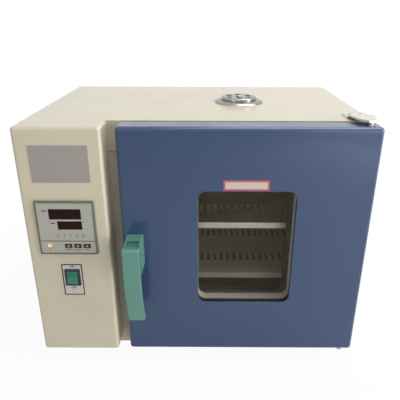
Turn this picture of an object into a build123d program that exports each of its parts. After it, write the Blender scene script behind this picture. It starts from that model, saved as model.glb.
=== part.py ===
from build123d import *
import math
import os

# Benchtop drying oven. Millimetres: X to the right, Y to the back, Z up.
# While it is drawn, Y = 0 is the front frame's face, X = 0 the casing's middle and Z = 0 the bench.

# Drawing: how far a cut, or a piece that is joined on, runs past the face that it meets
past = 1.0

# Chamber, the stainless box that holds the goods, and the walls round it
chamber_width = 300.0
chamber_depth = 300.0
chamber_height = 270.0
side_wall = 52.5
latch_wall = 55.0
roof_wall = 73.5
floor_wall = 92.5
back_wall = 42.8
liner_wall = 1.0
liner_flange = 12.0
side_flange = 4.0
duct_depth = 25.5
wool_gap = 0.3

# Casing
sheet = 1.2
edge_radius = 4.5
seam_gap = 1.2
header_height = 51.0

# Control box on the left
control_width = 135.0
control_depth = 47.0
control_lift = 21.0
frame_lap = 12.0

# Feet
foot_height = 12.0
foot_radius = 15.0
foot_taper = 2.5
foot_inset_x = 45.0
foot_inset_y = 45.0

# Door
door_thickness = 36.0
door_gap = 6.8
door_side_gap = 20.5
door_top_gap = 0.4
door_lift = 19.0
door_sheet = 1.2
door_radius = 6.0

# Window in the door
window_width = 158.5
window_height = 209.0
window_radius = 14.0
window_step = 6.0
window_side_step = 8.0
rear_window_radius = 9.0
window_round = 0.7
glass_thickness = 4.0
glass_overlap = 10.0
seal_rim = 3.0
seal_lip = 2.0
seal_setback = 1.0
front_seal_depth = 11.0
rear_seal_depth = 8.0
spacer_wall = 1.0

# Door gasket
gasket_margin = 10.0
gasket_width = 11.0
gasket_gap = 0.3
gasket_radius = 12.0
gasket_inner_radius = 6.0
gasket_round = 3.0

# Door hinges
pivot_from_side = 16.0
pivot_from_frame = 25.0
hinge_plate = 3.0
hinge_joggle = 4.5
hinge_bend_back = 24.0
hinge_bend_front = 14.0
hinge_plate_width = 38.0
hinge_plate_back = 52.0
hinge_inset = 2.0
hinge_nose = 7.5
hinge_corner = 2.5
hinge_left_front = 20.0
hinge_right_front = 0.0
hinge_shoulder = 16.0
hinge_shoulder_back = 8.0
hinge_tip = 6.2
hinge_tip_reach = 5.0
pin_radius = 3.0
pin_clearance = 0.05
pin_reach = 18.0
bush_wall = 2.5
bush_length = 22.0
bush_flange_radius = 8.5
bush_flange = 1.0
hinge_washer = 1.0
washer_gap = 0.3
bracket_height = 16.0
bracket_leg = 3.0
bracket_left_reach = 6.0
bracket_right_reach = 8.0
pin_head_radius = 5.0
pin_head = 7.0
screw_radius = 2.0
screw_head_radius = 4.2
screw_head = 2.2
screw_round = 1.3
cross_length = 5.5
cross_width = 1.2
cross_depth = 1.1
hinge_screw_length = 9.0
hinge_screw_from_side = (31.0, 13.5)
hinge_screw_from_front = (34.0, 33.0)
hinge_screw_turn = 30.0
bracket_screw_left = 16.0
bracket_screw_right = 7.0
bracket_screw_end = 0.6
bracket_screw_turn = 20.0

# Handle on the door
handle_width = 27.0
handle_edge = 1.5
handle_inset = 8.5
base_height = 54.0
base_depth = 36.0
base_lift = 26.0
cheek = 3.0
base_back = 4.0
base_roof = 3.0
base_roof_reach = 22.0
lever_gap = 8.2
lever_thickness = 10.0
lever_length = 145.5
lever_straight = 46.5
lever_curve_radius = 260.0
lever_top_drop = 0.5
lever_bevel = 3.0
lever_edge = 1.2
tip_bulge = 3.0
tip_height = 16.0
hub_width = 20.2
hub_radius = 10.0
pivot_depth = 16.8
pivot_drop = 22.0
lever_pin_radius = 2.5
cam_rise = 14.0
cam_radius = 4.0
cam_gap = 0.4
release_radius = 3.0
release_head_radius = 4.5
release_head = 3.0
release_stub = 1.8
release_hole = 1.0

# Roller catch behind the frame and the tongue on the door
tongue_width = 7.0
tongue_height = 3.0
tongue_reach = 20.8
tongue_inset = 14.5
tongue_lift = 14.0
tongue_foot = 1.5
tongue_foot_height = 22.0
tongue_foot_side = 2.0
tongue_round = 1.2
roller_radius = 4.0
roller_gap = 0.3
roller_depth = 10.0
roller_axle_radius = 1.3
roller_end_gap = 0.2
catch_wall = 1.0
catch_depth = 15.0
catch_height = 30.0
catch_opening = 20.0
catch_left_gap = 2.3
catch_right_gap = 1.2

# Temperature controller, a panel instrument of 96 by 96
bezel_size = 96.0
bezel_depth = 3.5
bezel_rim = 3.5
bezel_seat = 3.0
bezel_corner = 2.0
bezel_edge = 1.0
face_thickness = 1.3
face_recess = 0.2
controller_case_size = 88.0
controller_case_depth = 66.0
controller_case_corner = 2.0
controller_drop = 166.5
controller_inset = 19.9
cutout_gap = 0.5
display_recess = 0.2
upper_display_width = 52.0
upper_display_height = 18.3
upper_display_x = 48.0
upper_display_drop = 22.6
lower_display_width = 39.8
lower_display_height = 15.1
lower_display_x = 54.1
lower_display_drop = 42.4
led_radius = 0.9
led_count = 5
led_first_x = 33.1
led_pitch = 10.3
led_drop = 58.3
lamp_radius = 3.2
lamp_x = 17.2
lamp_drop = 79.2
lamp_proud = 0.3
button_width = 11.6
button_height = 7.1
button_first_x = 48.2
button_pitch = 15.3
button_drop = 79.8
button_proud = 0.8
button_depth = 2.1
button_gap = 0.3
button_edge = 0.4
button_names = ("set_button", "shift_button", "up_button")
board_thickness = 1.0
board_gap = 1.0

# Mains switch and the plates
switch_drop = 265.5
switch_inset = 67.5
switch_plate_width = 35.0
switch_plate_height = 61.0
switch_plate_drop = 5.0
plate_thickness = 0.6
switch_flange_width = 26.0
switch_flange_height = 32.0
switch_flange = 2.0
switch_corner = 1.0
switch_edge = 0.6
switch_body_width = 22.0
switch_body_height = 28.0
switch_body_depth = 24.0
rocker_width = 18.0
rocker_half = 11.2
rocker_gap = 0.3
rocker_end_gap = 1.1
rocker_pivot_depth = 3.6
rocker_crest = 4.0
rocker_tilt = 10.0
rocker_back = 6.5
rocker_shoulder = 0.65
rocker_side = 10.3
rocker_foot = 3.4
rocker_room = 2.0
rocker_axle_radius = 1.5
rocker_axle = 1.3
rocker_axle_gap = 0.2
label_width = 91.0
label_height = 60.0
label_drop = 58.0
label_inset = 68.5
label_corner = 1.5
notice_width = 73.0
notice_height = 17.5
notice_rise = 10.5
notice_shift = 2.5
notice_thickness = 0.3

# Vent in the roof
vent_shift = -4.5
vent_y = 162.0
vent_tube_radius = 29.5
vent_tube_wall = 1.0
vent_flange_radius = 46.5
vent_flange_height = 5.0
vent_flange_edge = 0.8
vent_flange_shoulder = 36.0
vent_collar_wall = 2.0
vent_collar_height = 9.0
vent_plate = 1.2
vent_disc_radius = 33.0
vent_disc = 1.2
vent_disc_skirt = 3.8
vent_disc_gap = 0.3
vent_disc_round = 2.2
vent_hole_radius = 5.5
vent_hole_ring = 20.5
vent_hole_count = 6
vent_tab_width = 4.0
vent_tab_reach = 5.0
vent_tab_shift = 4.5
vent_rivet_radius = 2.5
vent_rivet_head = 5.5
vent_rivet_height = 2.0
vent_rivet_round = 1.6

# Shelves
shelf_setback = 25.0
shelf_back_gap = 14.2
shelf_side_gap = 1.5
shelf_sheet = 1.0
shelf_lip = 11.0
shelf_heights = (47.5, 152.5)
shelf_names = ("shelf_lower", "shelf_upper")
slot_length = 34.0
slot_width = 5.0
slot_pitch = 13.0
slot_margin = 9.5
slot_first = 45.0
slot_row_pitch = 103.0
slot_rows = 2
bead_radius = 2.4
bead_height = 1.4
bead_gap = 4.6
runner_width = 12.0
runner_drop = 10.0
runner_sheet = 1.0
runner_gap = 0.3
runner_end = 6.0

# Fan, heater and probe in the side duct
shaft_radius = 4.0
impeller_radius = 48.0
impeller_width = 15.0
impeller_gap = 5.0
impeller_sheet = 1.0
impeller_hub_radius = 9.0
impeller_ring = 8.5
blade_count = 12
blade_length = 17.0
blade_inset = 2.0
blade_turn = 35.0
motor_radius = 37.0
motor_length = 62.0
motor_flange_radius = 46.0
motor_flange = 3.0
motor_edge = 4.0
motor_shaft_hold = 50.0
shaft_end_gap = 2.0
shaft_end = 2.0
motor_bolt_ring = 41.5
motor_screw_end = 2.0
motor_screw_turn = 45.0
divider_hole_gap = 8.0
liner_hole_gap = 2.0
wool_hole_gap = 4.0
heater_ring = 60.0
heater_radius = 3.5
heater_leg_spread = 12.0
heater_leg_out = 14.0
probe_setback = 51.2
probe_drop = 30.0
probe_radius = 2.0
probe_reach = 34.0
probe_nut_radius = 6.0
probe_nut = 8.0
probe_tail = 4.0
probe_tip = 1.2
intake_rings = (14.0, 26.0, 38.0)
intake_hole_radius = 3.5
intake_hole_pitch = 12.0
outlet_columns = 9
outlet_pitch = 30.0
outlet_slot_length = 18.0
outlet_slot_width = 4.0
outlet_margin = 18.0

# Electrical parts on the compartment wall and floor
relay_size = (28.0, 45.0, 60.0)
relay_y = 60.0
relay_z = 80.0
relay_edge = 3.0
relay_pin_radius = 3.0
relay_pin = 2.0
relay_pin_inset_y = 11.0
relay_pin_inset_z = 8.0
terminal_size = (60.0, 24.0, 30.0)
terminal_inset = 30.0
terminal_y = 190.0
terminal_slots = 5
terminal_slot_width = 7.2
terminal_slot_depth = 7.2
terminal_slot_height = 13.5

# Back
gland_inset = 50.0
gland_z = 60.0
gland_bore = 4.5
gland_thread_radius = 8.0
gland_nut_radius = 12.0
gland_out = 18.0
gland_in = 10.0
gland_nut = 5.0
gland_shoulder = 2.0
gland_lip = 2.0
louvre_count = 8
louvre_width = 70.0
louvre_height = 4.0
louvre_pitch = 12.0
louvre_z = 250.0
back_screw_inset = 8.0
back_screw_columns = 4
back_screw_rows = 3
back_screw_turn = 35.0

# Places worked out from the sizes
door_width = chamber_width + side_wall + latch_wall
body_width = control_width + door_side_gap + door_width
body_height = floor_wall + chamber_height + roof_wall
body_depth = sheet + chamber_depth + back_wall
left = -body_width / 2
right = body_width / 2
base_z = foot_height
top_z = base_z + body_height
control_right = left + control_width
control_front = -control_depth
control_bottom = base_z + control_lift
frame_left = control_right - frame_lap
inner_right = right - sheet
inner_left = left + sheet
inner_top = top_z - sheet
inner_back = body_depth - sheet
floor_top = base_z + sheet

door_right = right
door_left = door_right - door_width
door_back = -door_gap
door_front = door_back - door_thickness
door_bottom = base_z + door_lift
door_top = top_z - door_top_gap
panel_front = door_back - door_sheet

chamber_right = right - side_wall
chamber_left = chamber_right - chamber_width
chamber_floor = base_z + floor_wall
chamber_roof = chamber_floor + chamber_height
window_x = (chamber_left + chamber_right) / 2
window_z = (chamber_floor + chamber_roof) / 2

liner_front = sheet
chamber_back = liner_front + chamber_depth
duct_left = chamber_left - liner_wall - duct_depth
liner_left = duct_left - liner_wall
liner_right = chamber_right + liner_wall
liner_bottom = chamber_floor - liner_wall
liner_top = chamber_roof + liner_wall
liner_back = chamber_back + liner_wall
divider_left = control_right
divider_right = control_right + sheet
fan_y = (liner_front + chamber_back) / 2
fan_z = window_z
heater_z = fan_z - heater_ring
probe_y = chamber_back - probe_setback
probe_z = chamber_roof - probe_drop
vent_x = window_x + vent_shift
shelf_left = chamber_left + shelf_side_gap
shelf_right = chamber_right - shelf_side_gap
shelf_back = chamber_back - shelf_back_gap
slot_count = int((shelf_right - shelf_left - 2 * slot_margin) / slot_pitch) + 1

pivot_x = door_right - pivot_from_side
pivot_y = -pivot_from_frame
bush_radius = pin_radius + pin_clearance + bush_wall
bush_bottom = door_top - bush_length
lower_bush_top = door_bottom + bush_length
hinge_top = top_z + hinge_joggle + hinge_plate
bracket_top = door_bottom - bush_flange - washer_gap - hinge_washer

handle_left = door_left + handle_inset
handle_right = handle_left + handle_width
handle_x = (handle_left + handle_right) / 2
base_bottom = window_z - base_lift
base_top = base_bottom + base_height
base_front = door_front - base_depth
lever_back = base_front - lever_gap
lever_front = lever_back - lever_thickness
lever_top = base_top - lever_top_drop
lever_bottom = lever_top - lever_length
lever_pivot_y = base_front + pivot_depth
lever_pivot_z = base_top - pivot_drop
cam_z = lever_pivot_z + cam_rise
release_start = lever_pivot_y + cam_radius + cam_gap
tongue_x = door_left + tongue_inset
tongue_z = base_bottom + tongue_lift
tongue_left = tongue_x - tongue_width / 2
tongue_right = tongue_x + tongue_width / 2
catch_left = tongue_left - catch_left_gap
catch_right = tongue_right + catch_right_gap

controller_x = left + controller_inset + bezel_size / 2
controller_z = top_z - controller_drop
bezel_front = control_front - bezel_depth
face_front = bezel_front + face_recess
face_back = face_front + face_thickness
bezel_left = controller_x - bezel_size / 2
bezel_top = controller_z + bezel_size / 2
switch_x = left + switch_inset
switch_z = top_z - switch_drop + switch_plate_drop
plate_front = control_front - plate_thickness
switch_front = plate_front - switch_flange
rocker_y = switch_front + rocker_pivot_depth
label_x = left + label_inset
label_z = top_z - label_drop

terminal_x = left + terminal_inset
gland_x = left + gland_inset
louvre_x = (left + control_right) / 2

front_most = lever_front
rear_most = body_depth + gland_out
middle_y = (front_most + rear_most) / 2


# Helpers
def block(x0, x1, y0, y1, z0, z1):
    centre = Pos((x0 + x1) / 2, (y0 + y1) / 2, (z0 + z1) / 2)
    return centre * Box(x1 - x0, y1 - y0, z1 - z0)


def rod_x(radius, x0, x1, y, z):
    return Pos((x0 + x1) / 2, y, z) * Rot(0, 90, 0) * Cylinder(radius, x1 - x0)


def rod_y(radius, y0, y1, x, z):
    return Pos(x, (y0 + y1) / 2, z) * Rot(90, 0, 0) * Cylinder(radius, y1 - y0)


def rod_z(radius, z0, z1, x, y):
    return Pos(x, y, (z0 + z1) / 2) * Cylinder(radius, z1 - z0)


# A slab standing in the XZ plane with rounded corners
def rounded_slab(width, height, radius, y0, y1, x, z):
    outline = RectangleRounded(width, height, radius)
    return extrude(Plane(origin=(x, y1, z), x_dir=(1, 0, 0), z_dir=(0, -past, 0)) * outline, amount=y1 - y0)


def group(solids):
    return Compound(children=list(solids))


def edges_along(shape, axis):
    return shape.edges().filter_by(axis)


# Rounds the two upper edges along Y, where a flat piece meets the casing's bends
def round_top(shape, radius):
    return fillet(edges_along(shape, Axis.Y).group_by(Axis.Z)[-1], radius)


# Casing
def outer_casing():
    shell = block(left, right, 0, body_depth, base_z, top_z)
    shell = round_top(shell, edge_radius)
    hollow = block(inner_left, inner_right, -past, body_depth + past, base_z - past, inner_top)
    shell -= round_top(hollow, edge_radius - sheet)
    shell -= rod_z(vent_tube_radius + wool_gap, inner_top - past, top_z + past, vent_x, vent_y)
    for x, y in hinge_screw_places():
        shell -= rod_z(screw_radius, inner_top - past, top_z + past, x, y)
    return shell


def control_cover():
    outer = block(left, control_right, control_front, 0, control_bottom, top_z)
    front_edges = outer.edges().group_by(Axis.Y)[0]
    outer = fillet(list(front_edges) + list(edges_along(outer, Axis.Y)), edge_radius)
    inner = block(left + sheet, control_right - sheet, control_front + sheet, past,
                  control_bottom + sheet, top_z - sheet)
    inner_edges = list(inner.edges().group_by(Axis.Y)[0]) + list(edges_along(inner, Axis.Y))
    outer -= fillet(inner_edges, edge_radius - sheet)
    opening = controller_case_size / 2 + cutout_gap
    y0 = control_front - past
    y1 = control_front + sheet + past
    outer -= block(controller_x - opening, controller_x + opening, y0, y1,
                   controller_z - opening, controller_z + opening)
    outer -= switch_cut(y0, y1)
    return outer


def switch_cut(y0, y1):
    half_x = switch_body_width / 2
    half_z = switch_body_height / 2
    return block(switch_x - half_x, switch_x + half_x, y0, y1, switch_z - half_z, switch_z + half_z)


def frame_sheet(z0, z1):
    plate = block(frame_left, inner_right, 0, sheet, z0, z1)
    if z1 == inner_top:
        plate = round_top(plate, edge_radius - sheet)
    plate -= block(chamber_left, chamber_right, -past, sheet + past, chamber_floor, chamber_roof)
    plate -= block(catch_left, catch_right, -past, sheet + past, tongue_z - catch_opening / 2,
                   tongue_z + catch_opening / 2)
    for x, z in bracket_screw_places():
        plate -= rod_y(screw_radius, -past, sheet + past, x, z)
    return plate


def back_panel():
    plate = block(inner_left, inner_right, inner_back, body_depth, floor_top, inner_top)
    plate = round_top(plate, edge_radius - sheet)
    for i in range(louvre_count):
        z = louvre_z + i * louvre_pitch
        plate -= block(louvre_x - louvre_width / 2, louvre_x + louvre_width / 2, inner_back - past,
                       body_depth + past, z, z + louvre_height)
    plate -= rod_y(gland_thread_radius, inner_back - past, body_depth + past, gland_x, gland_z)
    for x, z in back_screw_places():
        plate -= rod_y(screw_radius, inner_back - past, body_depth + past, x, z)
    return plate


def base_panel():
    plate = block(inner_left, inner_right, sheet, body_depth, base_z, floor_top)
    plate += block(inner_left, frame_left, 0, sheet, base_z, control_bottom + sheet)
    return plate


def compartment_divider():
    wall = block(divider_left, divider_right, sheet, inner_back, floor_top, inner_top)
    wall -= rod_x(shaft_radius + divider_hole_gap, divider_left - past, divider_right + past, fan_y, fan_z)
    for y, z in motor_bolt_places():
        wall -= rod_x(screw_radius, divider_left - past, divider_right + past, y, z)
    for y in heater_leg_places():
        wall -= rod_x(heater_radius, divider_left - past, divider_right + past, y, heater_z)
    wall -= rod_x(probe_radius, divider_left - past, divider_right + past, probe_y, probe_z)
    return wall


def rubber_feet():
    feet = []
    for x in (left + foot_inset_x, right - foot_inset_x):
        for y in (foot_inset_y, body_depth - foot_inset_y):
            cone = Cone(foot_radius - foot_taper, foot_radius, foot_height)
            feet.append(Pos(x, y, foot_height / 2) * cone)
    return group(feet)


# Chamber and wool
def inner_chamber():
    outer = block(liner_left, liner_right, liner_front, liner_back, liner_bottom, liner_top)
    outer += block(liner_left - side_flange, liner_right + liner_flange, liner_front,
                   liner_front + liner_wall, liner_bottom - liner_flange, liner_top + liner_flange)
    outer -= block(duct_left, chamber_right, liner_front - past, chamber_back, chamber_floor, chamber_roof)
    outer -= rod_z(vent_tube_radius, chamber_roof - past, liner_top + past, vent_x, vent_y)
    outer -= rod_x(shaft_radius + liner_hole_gap, liner_left - past, duct_left + past, fan_y, fan_z)
    for y in heater_leg_places():
        outer -= rod_x(heater_radius, liner_left - past, duct_left + past, y, heater_z)
    outer -= rod_x(probe_radius, liner_left - past, duct_left + past, probe_y, probe_z)
    return outer


def insulation():
    front = liner_front + liner_wall + wool_gap
    x0 = divider_right + wool_gap
    x1 = inner_right - wool_gap
    y1 = inner_back - wool_gap
    roof = block(x0, x1, front, y1, liner_top + wool_gap, inner_top - wool_gap)
    roof = round_top(roof, edge_radius)
    screw_end = top_z + hinge_plate - hinge_screw_length
    for x, y in hinge_screw_places():
        roof -= rod_z(screw_radius + wool_gap, screw_end - wool_gap, top_z, x, y)
    roof -= rod_z(vent_tube_radius + wool_gap, liner_top - past, top_z, vent_x, vent_y)
    floor = block(x0, x1, front, y1, floor_top + wool_gap, liner_bottom - wool_gap)
    side = block(liner_right + wool_gap, x1, front, y1, liner_bottom, liner_top)
    back = block(x0, liner_right, liner_back + wool_gap, y1, liner_bottom, liner_top)
    catch_room = liner_front + catch_depth + 2 * wool_gap
    wall = block(x0, liner_left - wool_gap, catch_room, liner_back, liner_bottom, liner_top)
    wall -= rod_x(shaft_radius + wool_hole_gap, x0 - past, liner_left + past, fan_y, fan_z)
    for y in heater_leg_places():
        wall -= rod_x(heater_radius + wool_gap, x0 - past, liner_left + past, y, heater_z)
    wall -= rod_x(probe_radius + wool_gap, x0 - past, liner_left + past, probe_y, probe_z)
    for y, z in motor_bolt_places():
        wall -= rod_x(screw_radius + wool_gap, x0 - past, divider_right + motor_screw_end + wool_gap, y, z)
    return group([roof, floor, side, back, wall])


# Fan, heater and probe
def motor_bolt_places():
    step = motor_bolt_ring * math.cos(math.radians(45))
    return [(fan_y + a * step, fan_z + b * step) for a in (-1, 1) for b in (-1, 1)]


def heater_leg_places():
    return (fan_y - heater_leg_spread, fan_y + heater_leg_spread)


def duct_baffle():
    x0 = chamber_left - liner_wall
    sheet_metal = block(x0, chamber_left, liner_front, chamber_back, chamber_floor, chamber_roof)
    for ring in intake_rings:
        count = int(2 * math.pi * ring / intake_hole_pitch)
        for i in range(count):
            angle = 2 * math.pi * i / count
            y = fan_y + ring * math.cos(angle)
            z = fan_z + ring * math.sin(angle)
            sheet_metal -= rod_x(intake_hole_radius, x0 - past, chamber_left + past, y, z)
    for z in (chamber_floor + outlet_margin, chamber_roof - outlet_margin):
        for i in range(outlet_columns):
            y = fan_y + (i - (outlet_columns - 1) / 2) * outlet_pitch
            sheet_metal -= block(x0 - past, chamber_left + past, y - outlet_slot_length / 2,
                                 y + outlet_slot_length / 2, z, z + outlet_slot_width)
    sheet_metal -= rod_x(probe_radius + wool_gap, x0 - past, chamber_left + past, probe_y, probe_z)
    return sheet_metal


def heater_element():
    middle_x = duct_left + impeller_gap + impeller_width / 2
    ring = Pos(middle_x, fan_y, fan_z) * Rot(0, 90, 0) * Torus(heater_ring, heater_radius)
    ring_z = fan_z - math.sqrt(heater_ring ** 2 - heater_leg_spread ** 2)
    for y in heater_leg_places():
        ring += rod_x(heater_radius, divider_left - heater_leg_out, middle_x, y, heater_z)
        ring += rod_z(heater_radius, heater_z - heater_radius, ring_z + heater_radius, middle_x, y)
    return ring


def temperature_probe():
    tail = divider_left - probe_nut - probe_tail
    rod = rod_x(probe_radius, tail, chamber_left + probe_reach, probe_y, probe_z)
    rod += rod_x(probe_nut_radius, divider_left - probe_nut, divider_left, probe_y, probe_z)
    return fillet(rod.faces().sort_by(Axis.X)[-1].edges(), probe_tip)


def fan_motor():
    flange_left = divider_left - motor_flange
    can = rod_x(motor_radius, flange_left - motor_length, flange_left, fan_y, fan_z)
    can = fillet(can.faces().sort_by(Axis.X)[0].edges(), motor_edge)
    can += rod_x(motor_flange_radius, flange_left, divider_left, fan_y, fan_z)
    bore = shaft_radius + pin_clearance
    can -= rod_x(bore, divider_left - motor_shaft_hold, divider_left + past, fan_y, fan_z)
    for y, z in motor_bolt_places():
        can -= rod_x(screw_radius, flange_left - past, divider_left + past, y, z)
    return can


def impeller_span():
    start = duct_left + impeller_gap
    return start, start + impeller_width


def fan_shaft():
    start = divider_left - motor_shaft_hold + shaft_end_gap
    return rod_x(shaft_radius, start, impeller_span()[1] + shaft_end, fan_y, fan_z)


def fan_impeller():
    x0, x1 = impeller_span()
    wheel = rod_x(impeller_radius, x0, x0 + impeller_sheet, fan_y, fan_z)
    wheel += rod_x(impeller_hub_radius, x0, x1, fan_y, fan_z)
    ring = rod_x(impeller_radius, x1 - impeller_sheet, x1, fan_y, fan_z)
    ring -= rod_x(impeller_radius - impeller_ring, x1 - impeller_sheet - past, x1 + past, fan_y, fan_z)
    wheel += ring
    blade = Box(impeller_width, impeller_sheet, blade_length)
    blade = Pos(0, 0, impeller_radius - blade_length / 2 - blade_inset) * Rot(blade_turn, 0, 0) * blade
    for i in range(blade_count):
        turn = Rot(360 * i / blade_count, 0, 0)
        wheel += Pos((x0 + x1) / 2, fan_y, fan_z) * turn * blade
    wheel -= rod_x(shaft_radius, x0 - past, x1 + past, fan_y, fan_z)
    return wheel


# Shelves and the runners that carry them
def shelf(height):
    top = chamber_floor + height
    plate = block(shelf_left, shelf_right, shelf_setback, shelf_back, top - shelf_sheet, top)
    clear = runner_width + runner_gap
    plate += block(chamber_left + clear, chamber_right - clear, shelf_setback, shelf_setback + shelf_sheet,
                   top - shelf_lip, top)
    slots = []
    beads = []
    for row in range(slot_rows):
        y0 = shelf_setback + slot_first + row * slot_row_pitch
        for i in range(slot_count):
            x = shelf_left + slot_margin + i * slot_pitch
            hole = extrude(SlotOverall(slot_length, slot_width, rotation=90), amount=shelf_sheet + 2 * past)
            slots.append(Pos(x, y0 + slot_length / 2, top - shelf_sheet - past) * hole)
            cap = Pos(0, 0, bead_height - bead_radius) * Sphere(bead_radius)
            below = Box(3 * bead_radius, 3 * bead_radius, 2 * bead_radius)
            cap -= Pos(0, 0, -bead_radius - shelf_sheet / 2) * below
            beads.append(Pos(x, y0 - bead_gap, top) * cap)
    plate += beads
    plate -= slots
    return plate


def shelf_runners():
    rails = []
    y0 = liner_front + runner_end
    y1 = chamber_back - runner_end
    for height in shelf_heights:
        top = chamber_floor + height - shelf_sheet - runner_gap
        for side, wall in ((1, chamber_left), (-1, chamber_right)):
            x0, x1 = sorted((wall, wall + side * runner_width))
            rail = block(x0, x1, y0, y1, top - runner_sheet, top)
            x0, x1 = sorted((wall, wall + side * runner_sheet))
            rail += block(x0, x1, y0, y1, top - runner_drop, top)
            rails.append(rail)
    return group(rails)


# Vent
def vent_tube():
    top = top_z + vent_collar_height - vent_plate
    tube = rod_z(vent_tube_radius, chamber_roof, top, vent_x, vent_y)
    return tube - rod_z(vent_tube_radius - vent_tube_wall, chamber_roof - past, top + past, vent_x, vent_y)


def vent_holes(z0, z1):
    holes = []
    for i in range(vent_hole_count):
        angle = math.radians(90 + 360 * i / vent_hole_count)
        x = vent_x + vent_hole_ring * math.cos(angle)
        y = vent_y + vent_hole_ring * math.sin(angle)
        holes.append(rod_z(vent_hole_radius, z0, z1, x, y))
    return holes


def vent_flange():
    collar_radius = vent_tube_radius + vent_collar_wall
    rim = (vent_flange_radius, vent_flange_edge)
    crown = (vent_flange_shoulder, vent_flange_height)
    outline = Curve() + [
        Line((0, 0), (vent_flange_radius, 0)),
        Line((vent_flange_radius, 0), rim),
        TangentArc(crown, rim, tangent=(1, 0)),
        Line(crown, (0, vent_flange_height)),
        Line((0, vent_flange_height), (0, 0)),
    ]
    ring = Pos(vent_x, vent_y, top_z) * revolve(Plane.XZ * make_face(outline), Axis.Z)
    ring += rod_z(collar_radius, top_z, top_z + vent_collar_height, vent_x, vent_y)
    ring -= rod_z(vent_tube_radius, top_z - past, top_z + vent_collar_height - vent_plate, vent_x, vent_y)
    ring -= vent_holes(top_z, top_z + vent_collar_height + past)
    ring -= rod_z(vent_rivet_radius, top_z, top_z + vent_collar_height + past, vent_x, vent_y)
    return ring


def vent_shutter():
    seat = top_z + vent_collar_height + vent_disc_gap
    dish = rod_z(vent_disc_radius, seat - vent_disc_skirt, seat + vent_disc, vent_x, vent_y)
    dish = fillet(dish.faces().sort_by(Axis.Z)[-1].edges(), vent_disc_round)
    inner = vent_tube_radius + vent_collar_wall + vent_disc_gap
    dish -= rod_z(inner, seat - vent_disc_skirt - past, seat, vent_x, vent_y)
    dish -= vent_holes(seat - past, seat + vent_disc + past)
    dish -= rod_z(vent_rivet_radius + pin_clearance, seat - past, seat + vent_disc + past, vent_x, vent_y)
    y1 = vent_y - vent_disc_radius + vent_disc / 2
    x0 = vent_x + vent_tab_shift - vent_tab_width / 2
    x1 = x0 + vent_tab_width
    low = seat - vent_disc_skirt
    dish += block(x0, x1, y1 - vent_tab_reach, y1, low, low + vent_disc)
    dish += block(x0, x1, y1 - vent_tab_reach, y1 - vent_tab_reach + vent_disc, low, seat + vent_disc / 2)
    return dish


def vent_rivet():
    base = top_z + vent_collar_height - vent_plate - vent_rivet_height
    head = top_z + vent_collar_height + 2 * vent_disc_gap + vent_disc
    rivet = rod_z(vent_rivet_radius, base, head, vent_x, vent_y)
    rivet += rod_z(vent_rivet_head, base, base + vent_rivet_height, vent_x, vent_y)
    cap = rod_z(vent_rivet_head, head, head + vent_rivet_height, vent_x, vent_y)
    cap = fillet(cap.faces().sort_by(Axis.Z)[-1].edges(), vent_rivet_round)
    return rivet + cap


# Hinges
def hinge_screw_places():
    return [(right - x, y) for x, y in zip(hinge_screw_from_side, hinge_screw_from_front)]


def bracket_screw_places():
    z = bracket_top - bracket_height / 2
    return ((pivot_x - bracket_screw_left, z), (pivot_x + bracket_screw_right, z))


# The plate lies on the casing, and a double bend lifts its nose clear of the door
def hinge_plate_top():
    x0 = right - hinge_inset - hinge_plate_width
    x1 = right - hinge_inset
    nose_front = pivot_y - hinge_tip_reach
    corners = [(x0, hinge_plate_back), (x0, hinge_left_front),
               (pivot_x - hinge_shoulder, pivot_y + hinge_shoulder_back), (pivot_x - hinge_tip, nose_front),
               (pivot_x + hinge_tip, nose_front), (x1, hinge_right_front), (x1, hinge_plate_back)]
    height = hinge_joggle + hinge_plate
    plan = extrude(make_face(Polyline(*corners, close=True)), amount=height)
    plan = fillet(edges_along(plan, Axis.Z), hinge_corner)
    front = nose_front - past
    back = hinge_plate_back + past
    bends = [(back, 0), (hinge_bend_back, 0), (hinge_bend_front, hinge_joggle), (front, hinge_joggle),
             (front, height), (hinge_bend_front, height), (hinge_bend_back, hinge_plate), (back, hinge_plate)]
    strip = extrude(Plane.YZ * make_face(Polyline(*bends, close=True)), amount=hinge_plate_width + 2 * past)
    plate = Pos(0, 0, top_z) * (plan & Pos(x0 - past, 0, 0) * strip)
    plate -= rod_z(pin_radius, top_z, hinge_top + past, pivot_x, pivot_y)
    for x, y in hinge_screw_places():
        plate -= rod_z(screw_radius, top_z - past, top_z + hinge_plate + past, x, y)
    return plate


def hinge_bracket_bottom():
    x0 = right - hinge_inset - hinge_plate_width
    x1 = right - hinge_inset
    nose_front = pivot_y - hinge_nose
    corners = [(x0, 0), (x0, -bracket_left_reach), (pivot_x - hinge_nose, nose_front),
               (pivot_x + hinge_nose, nose_front), (x1, -bracket_right_reach), (x1, 0)]
    leg = extrude(make_face(Polyline(*corners, close=True)), amount=hinge_plate)
    leg = Pos(0, 0, bracket_top - hinge_plate) * leg
    leg = fillet(edges_along(leg, Axis.Z).group_by(Axis.Y)[0], hinge_corner)
    leg += block(x0, x1, -bracket_leg, 0, bracket_top - bracket_height, bracket_top)
    leg -= rod_z(pin_radius, bracket_top - hinge_plate - past, bracket_top + past, pivot_x, pivot_y)
    for x, z in bracket_screw_places():
        leg -= rod_y(screw_radius, -bracket_leg - past, 1, x, z)
    return leg


def hinge_pins():
    upper = rod_z(pin_radius, door_top - pin_reach, hinge_top, pivot_x, pivot_y)
    lower = rod_z(pin_radius, bracket_top - hinge_plate, door_bottom + pin_reach, pivot_x, pivot_y)
    head_top = bracket_top - hinge_plate
    hexagon = extrude(RegularPolygon(pin_head_radius, 6), amount=pin_head)
    lower += Pos(pivot_x, pivot_y, head_top - pin_head) * hexagon
    return group([upper, lower])


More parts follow.
